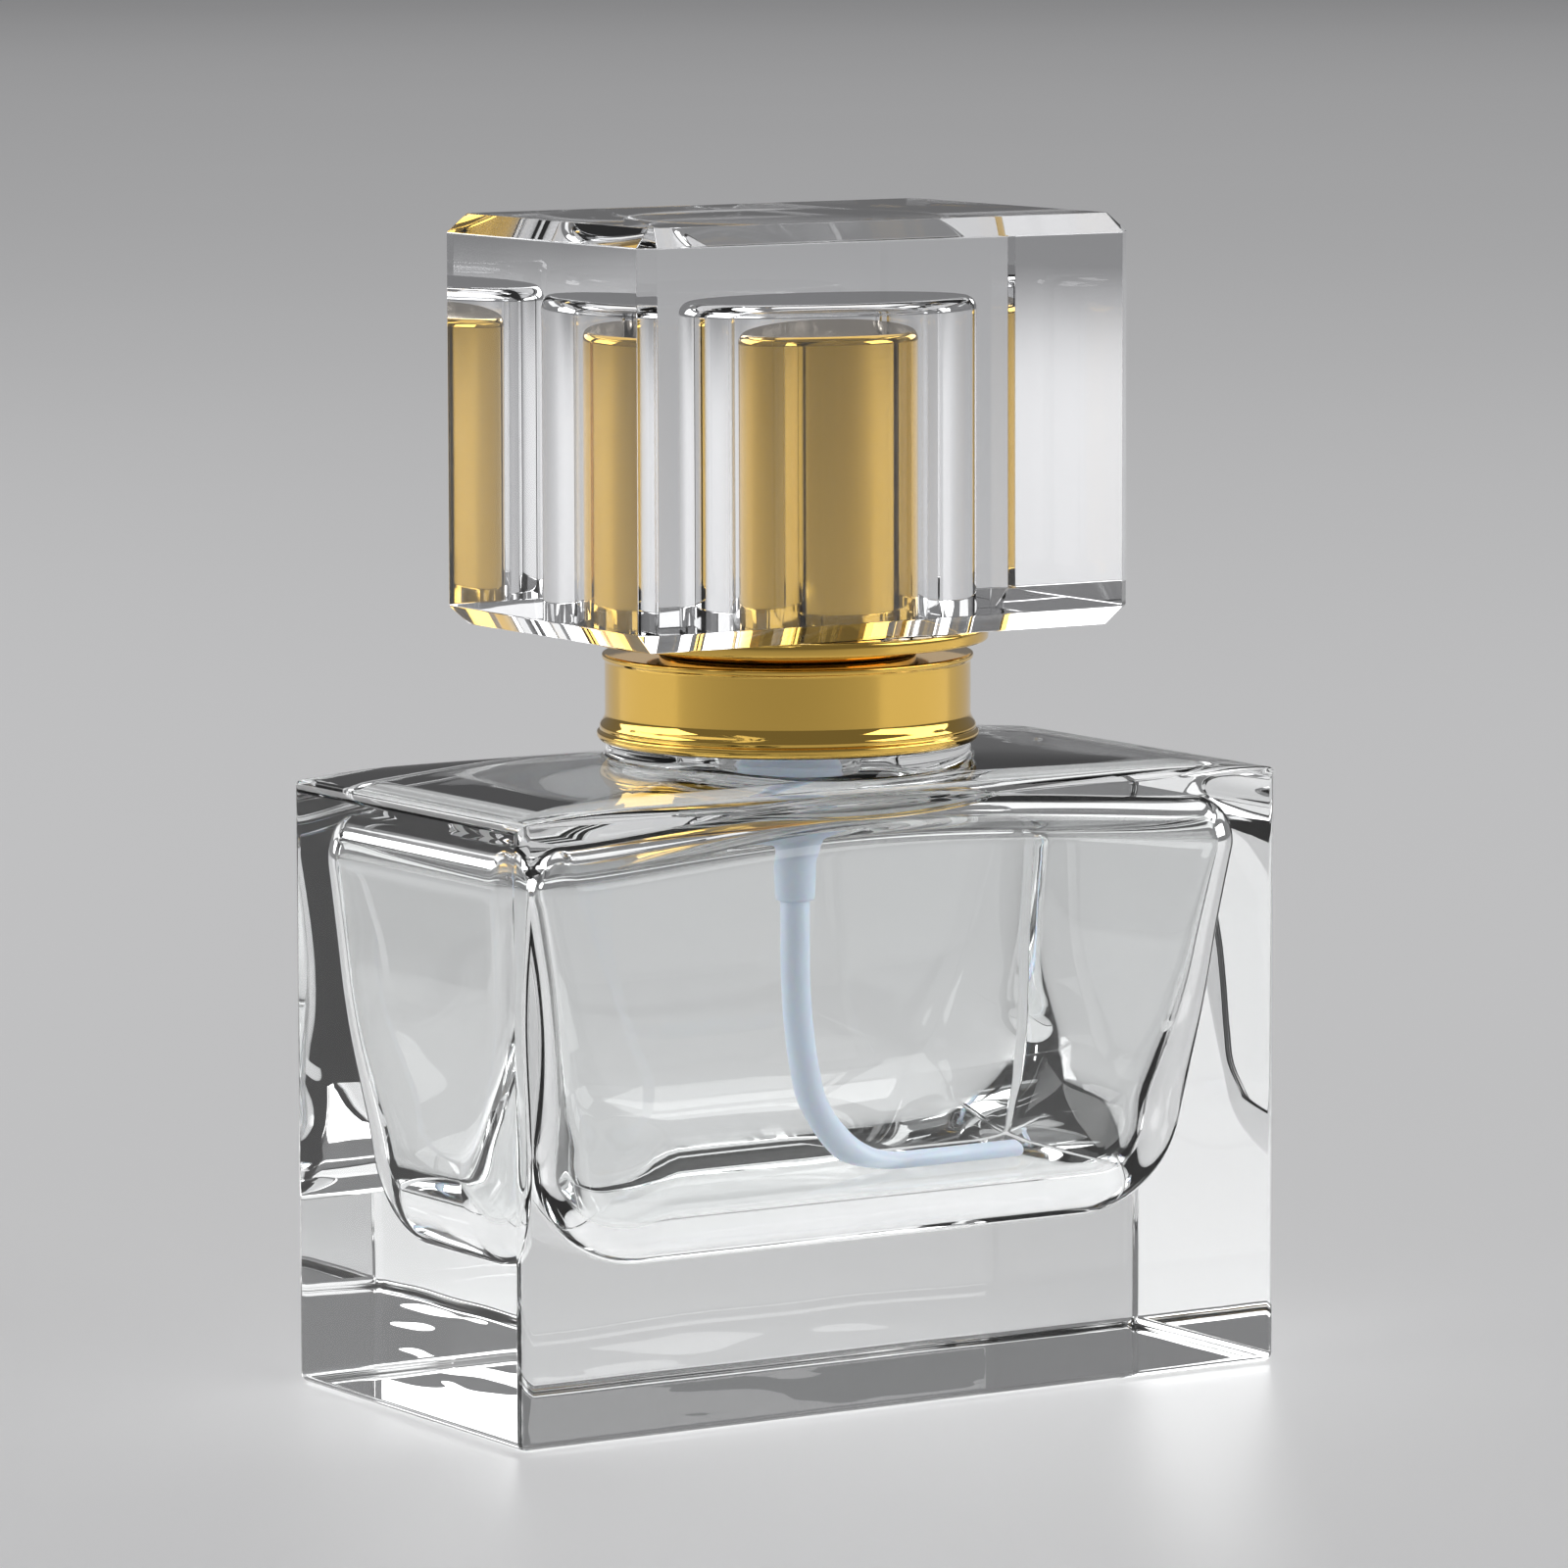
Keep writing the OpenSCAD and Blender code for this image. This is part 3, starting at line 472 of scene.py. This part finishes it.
def make_housing(material):
    """The pump's flange, barrel, ball chamber and tube holder."""
    outer = BARREL_R + BARREL_WALL
    chamber_z = BALL_SEAT_Z + CHAMBER_R - INLET_R
    barrel = [(BARREL_R, BARREL_FLOOR), (BARREL_R, BARREL_TOP, 0.1), (outer, BARREL_TOP, 0.1)]
    flange = [(outer, PUMP_FLANGE_TOP, 0.1), (PUMP_FLANGE_R, PUMP_FLANGE_TOP, 0.1),
              (PUMP_FLANGE_R, PUMP_FLANGE_Z, 0.1), (outer, PUMP_FLANGE_Z, 0.15)]
    holder = [(outer, BARREL_FLOOR - 0.4, 0.3), (HOLDER_R + 0.4, SOCKET_TOP + 0.7, 0.3),
              (HOLDER_R + 0.25, SOCKET_TOP - 0.6, 0.2), (HOLDER_R, HOLDER_Z + 0.15, 0.1),
              (HOLDER_R - 0.1, HOLDER_Z, 0.05), (SOCKET_R, HOLDER_Z, 0.05), (SOCKET_R, SOCKET_TOP)]
    inlet = [(INLET_R, SOCKET_TOP), (INLET_R, BALL_SEAT_Z), (CHAMBER_R, chamber_z, 0.1),
             (CHAMBER_R, BARREL_FLOOR, 0.1)]
    bm = spun(barrel + flange + holder + inlet, steps=96)
    return register("pump_housing_moulding", bm, material, "bottle", "pump_housing")


def make_spring(name, size, material, body, node):
    """Wound wire with a closed turn at each end."""
    coil_r, wire_r, foot, head, turns, travel = size
    rise = head - foot - 2 * (wire_r + SPRING_GAP)
    closed_rise = 2 * wire_r + COIL_GAP
    bm = bmesh.new()
    bmesh.ops.create_circle(bm, cap_ends=False, segments=12, radius=wire_r * MM)
    bmesh.ops.rotate(bm, verts=bm.verts[:], cent=(0, 0, 0), matrix=Matrix.Rotation(math.pi / 2, 3, "X"))
    bmesh.ops.translate(bm, verts=bm.verts[:], vec=(coil_r * MM, 0, (foot + wire_r + SPRING_GAP) * MM))
    geom = bm.verts[:] + bm.edges[:]
    closed_turns = turns / CLOSED_PART
    for share, climb in ((closed_turns, closed_rise * closed_turns),
                         (turns - 2 * closed_turns, rise - 2 * closed_rise * closed_turns),
                         (closed_turns, closed_rise * closed_turns)):
        steps = round(share * STEPS_PER_TURN)
        geom = bmesh.ops.spin(bm, geom=geom, cent=(0, 0, 0), axis=(0, 0, 1), angle=share * math.tau,
                              steps=steps, dvec=(0, 0, climb / steps * MM))["geom_last"]
    bmesh.ops.holes_fill(bm, edges=[e for e in bm.edges if e.is_boundary])
    bmesh.ops.recalc_face_normals(bm, faces=bm.faces[:])
    piece = register(name, bm, material, body, node)
    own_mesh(piece)
    return piece


# ---- Materials ----

class Finish:
    """A node material round one Principled shader, patterned in object coordinates."""

    def __init__(self, name):
        self.material = bpy.data.materials.new(name)
        self.material.use_nodes = True
        self.tree = self.material.node_tree
        self.shader = self.tree.nodes["Principled BSDF"]
        self.place = self.tree.nodes.new("ShaderNodeTexCoord").outputs["Object"]

    def fill(self, node, values):
        """Sets a node's inputs by name, or links them where the value is another node's output."""
        for key, value in values.items():
            socket = node.inputs[key.replace("_", " ")]
            if isinstance(value, bpy.types.NodeSocket):
                self.tree.links.new(value, socket)
            else:
                socket.default_value = value

    def node(self, kind, **inputs):
        made = self.tree.nodes.new(kind)
        self.fill(made, inputs)
        return made

    def set(self, **values):
        self.fill(self.shader, values)

    def noise(self, scale, detail=2.0, stretch=None):
        place = self.place
        if stretch:
            place = self.node("ShaderNodeMapping", Vector=place, Scale=stretch).outputs["Vector"]
        return self.node("ShaderNodeTexNoise", Vector=place, Scale=scale, Detail=detail).outputs["Fac"]

    def span(self, value, low, high):
        return self.node("ShaderNodeMapRange", Value=value, From_Min=NOISE_LOW, From_Max=NOISE_HIGH,
                         To_Min=low, To_Max=high).outputs["Result"]

    def blend(self, factor, first, second):
        made = self.tree.nodes.new("ShaderNodeMix")
        made.data_type = "RGBA"
        self.tree.links.new(factor, made.inputs["Factor"])
        sockets = [s for s in made.inputs if s.type == "RGBA"]
        sockets[0].default_value = (*first, 1)
        sockets[1].default_value = (*second, 1)
        return next(s for s in made.outputs if s.type == "RGBA")

    def relief(self, height, strength, depth_mm):
        bump = self.node("ShaderNodeBump", Height=height, Strength=strength, Distance=depth_mm * MM)
        self.tree.links.new(bump.outputs["Normal"], self.shader.inputs["Normal"])

    def lamp_light_passes(self):
        """Shadow rays go straight through; every other ray meets the shader."""
        clear = self.tree.nodes.new("ShaderNodeBsdfTransparent")
        path = self.tree.nodes.new("ShaderNodeLightPath")
        either = self.tree.nodes.new("ShaderNodeMixShader")
        output = self.tree.nodes["Material Output"]
        self.tree.links.new(path.outputs["Is Shadow Ray"], either.inputs[0])
        self.tree.links.new(self.shader.outputs[0], either.inputs[1])
        self.tree.links.new(clear.outputs[0], either.inputs[2])
        self.tree.links.new(either.outputs[0], output.inputs["Surface"])


def clear_finish(name, ior, tint, faint, wave, depth):
    """Clear glass or acrylic, which lets the lamps' light through to what stands in it or under it."""
    finish = Finish(name)
    finish.set(Transmission_Weight=1.0, IOR=ior,
               Roughness=finish.span(finish.noise(scale=60), low=0.0, high=0.004))
    finish.set(Base_Color=finish.blend(finish.noise(scale=40), tint, faint))
    finish.relief(finish.noise(wave, detail=1.0), strength=0.5, depth_mm=depth)
    finish.lamp_light_passes()
    return finish.material


def gold_finish():
    finish = Finish("polished gold anodising")
    deep, bright = (0.82, 0.52, 0.105), (0.85, 0.545, 0.13)
    finish.set(Metallic=1.0, Base_Color=finish.blend(finish.noise(scale=70, detail=3), deep, bright))
    drawn_marks = finish.noise(scale=120, detail=2, stretch=(1, 1, 6))
    finish.set(Roughness=finish.span(drawn_marks, low=0.04, high=0.08))
    fine_lines = finish.noise(scale=350, detail=3, stretch=(1, 1, 14))
    finish.relief(fine_lines, strength=0.15, depth_mm=0.004)
    return finish.material


def plastic_finish(name, first, second, rough=(0.3, 0.42), through=0.0, below=0.0, grain=420):
    finish = Finish(name)
    finish.set(Base_Color=finish.blend(finish.noise(scale=90, detail=3), first, second),
               Roughness=finish.span(finish.noise(grain, detail=3), *rough),
               Transmission_Weight=through, IOR=1.5, Subsurface_Weight=below, Subsurface_Scale=MM)
    finish.relief(finish.noise(grain, detail=2), strength=0.2, depth_mm=0.006)
    return finish.material


def metal_finish(name, first, second, rough):
    finish = Finish(name)
    drawn_marks = finish.noise(scale=800, detail=4, stretch=(1, 1, 10))
    finish.set(Metallic=1.0, Base_Color=finish.blend(finish.noise(scale=120, detail=3), first, second),
               Roughness=finish.span(drawn_marks, *rough))
    fine_lines = finish.noise(scale=900, detail=3, stretch=(1, 1, 8))
    finish.relief(fine_lines, strength=0.2, depth_mm=0.005)
    return finish.material


# ---- Studio ----

def soft_lamp(name, place, aim, width, height, watts):
    lamp = bpy.data.lights.new(name, "AREA")
    lamp.shape, lamp.size, lamp.size_y, lamp.energy = "RECTANGLE", width, height, watts
    holder = bpy.data.objects.new(name, lamp)
    holder.location = place
    holder.rotation_euler = (Vector(aim) - Vector(place)).to_track_quat("-Z", "Y").to_euler()
    bpy.context.scene.collection.objects.link(holder)


def make_floor():
    bm = bmesh.new()
    bmesh.ops.create_circle(bm, cap_ends=True, segments=96, radius=STUDIO_FLOOR_R)
    bmesh.ops.translate(bm, vec=(0, 0, -FLOOR_DROP), verts=bm.verts[:])
    floor = placed("floor", bm)
    finish = Finish("pale floor")
    darker, paler = (0.73, 0.73, 0.735), (0.76, 0.76, 0.765)
    finish.set(Base_Color=finish.blend(finish.noise(scale=3, detail=4), darker, paler), Roughness=0.38)
    floor.data.materials.append(finish.material)


def make_world():
    """The same plain grey all round, for every ray."""
    world = bpy.data.worlds.new("studio")
    world.use_nodes = True
    bpy.context.scene.world = world
    back = world.node_tree.nodes["Background"]
    back.inputs["Color"].default_value = (*WORLD_GREY, 1)
    back.inputs["Strength"].default_value = 1.0


def make_camera():
    azimuth, elevation, roll = (math.radians(v) for v in CAMERA_ANGLES)
    right = Vector((math.cos(azimuth), math.sin(azimuth), 0))
    back = Vector((math.sin(azimuth) * math.cos(elevation), -math.cos(azimuth) * math.cos(elevation),
                   math.sin(elevation)))
    up = back.cross(right)
    camera = bpy.data.objects.new("camera", bpy.data.cameras.new("camera"))
    camera.data.sensor_width = SENSOR
    camera.data.lens = LENS
    camera.data.clip_start = CLIP_START
    x_axis = right * math.cos(roll) - up * math.sin(roll)
    y_axis = right * math.sin(roll) + up * math.cos(roll)
    place = (right * CAMERA_RIGHT + up * CAMERA_UP + back * CAMERA_BACK) * MM
    camera.matrix_world = Matrix((x_axis, y_axis, back)).transposed().to_4x4()
    camera.location = place
    bpy.context.scene.collection.objects.link(camera)
    bpy.context.scene.camera = camera


# ---- The whole ----

def main():
    glass = clear_finish("clear bottle glass", ior=1.52, tint=(0.97, 0.985, 0.98),
                         faint=(0.985, 0.99, 0.99), wave=55, depth=0.12)
    acrylic = clear_finish("clear acrylic", ior=1.49, tint=(0.975, 0.98, 0.99),
                           faint=(0.985, 0.99, 1.0), wave=90, depth=0.01)
    gold = gold_finish()
    natural = plastic_finish("natural polyethylene", (0.68, 0.78, 0.94), (0.71, 0.81, 0.96),
                             rough=(0.3, 0.38), through=0.12, below=0.4, grain=160)
    white = plastic_finish("white polypropylene", (0.86, 0.86, 0.84), (0.90, 0.90, 0.88), below=0.1)
    seal = plastic_finish("grey seal rubber", (0.16, 0.165, 0.17), (0.2, 0.205, 0.21), rough=(0.55, 0.75))
    aluminium = metal_finish("bright aluminium", (0.78, 0.79, 0.81), (0.84, 0.85, 0.86), rough=(0.2, 0.3))
    steel = metal_finish("drawn steel", (0.60, 0.61, 0.63), (0.68, 0.69, 0.70), rough=(0.15, 0.25))

    make_bottle(glass)
    make_cap_block(acrylic)
    make_cap_sleeve(gold)
    make_collar(gold)
    make_dip_tube(natural)
    make_housing(natural)
    make_spring("return_spring_wire", RETURN_SPRING, steel, "bottle", "return_spring")
    make_spring("priming_spring_wire", PRIMING_SPRING, steel, "stem", "priming_spring")

    carried_over = {
        "neck_gasket": seal, "crimp_ferrule": aluminium, "collar_insert": white, "pump_turret": white,
        "stem_gasket": seal, "inlet_ball": steel, "pump_stem": white, "pump_piston": natural,
        "actuator_core": white, "actuator_shell": gold, "spray_insert": white, "cap_liner": white,
    }
    for node, material in carried_over.items():
        bpy.data.objects[node].material_slots[0].material = material

    make_floor()
    make_world()
    make_camera()
    for softbox in SOFTBOXES:
        soft_lamp(*softbox)
    bpy.context.scene.view_settings.view_transform = "Standard"


main()
